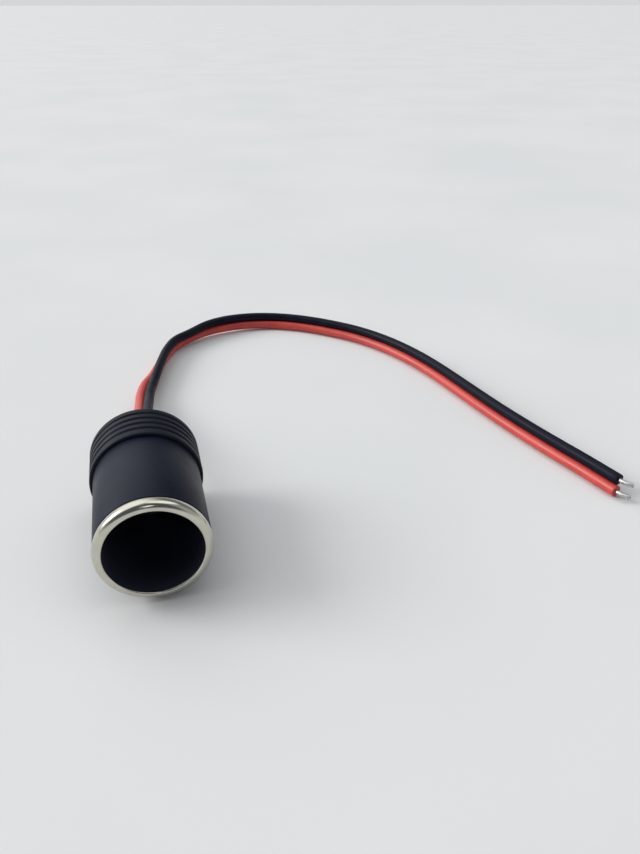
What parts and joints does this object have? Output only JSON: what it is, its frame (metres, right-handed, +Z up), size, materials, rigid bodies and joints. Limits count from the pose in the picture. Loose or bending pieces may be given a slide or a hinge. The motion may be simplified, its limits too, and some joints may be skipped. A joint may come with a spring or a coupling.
{
  "type": "cigarette lighter extension cable",
  "caption": "Female 12 V lighter socket with a ribbed end cap on a short red and black twin cable with stripped, tinned ends.",
  "frame": {"origin": "on the table, under the middle of the socket without its cable", "axes": "+Z up from the table, -Y out of the socket's mouth, +X to the right as seen from the mouth's side"},
  "size_m": [0.1372, 0.1521, 0.0271],
  "materials": {
    "housing_plastic": "smooth satin black moulding with a faint blue cast",
    "cap_plastic": "satin black moulding with raised ribs",
    "nickel_steel": "bright nickel plate on drawn steel, dark and matt inside the shell",
    "contact_brass": "plain turned brass",
    "bush_phenolic": "dark brown moulded insulator",
    "tag_brass": "stamped brass tag",
    "solder": "bright solder",
    "rivet_steel": "plated steel rivet",
    "red_pvc": "soft red insulation with a satin shine",
    "black_pvc": "soft black insulation with a satin shine",
    "copper": "bare copper strands",
    "tinned_copper": "solder-dipped strands",
    "tie_nylon": "natural nylon"
  },
  "bodies": {
    "root": {"housing": "housing_plastic", "end_cap": "cap_plastic", "socket_shell": "nickel_steel", "centre_contact": "contact_brass", "contact_bush": "bush_phenolic", "positive_tag": "tag_brass", "positive_solder": "solder", "ground_rivet": "rivet_steel", "negative_tag": "tag_brass", "negative_solder": "solder", "red_wire": "red_pvc", "black_wire": "black_pvc", "red_lead": "copper", "black_lead": "copper", "red_wire_end": "tinned_copper", "black_wire_end": "tinned_copper", "cable_tie": "tie_nylon"}
  },
  "joints": []
}
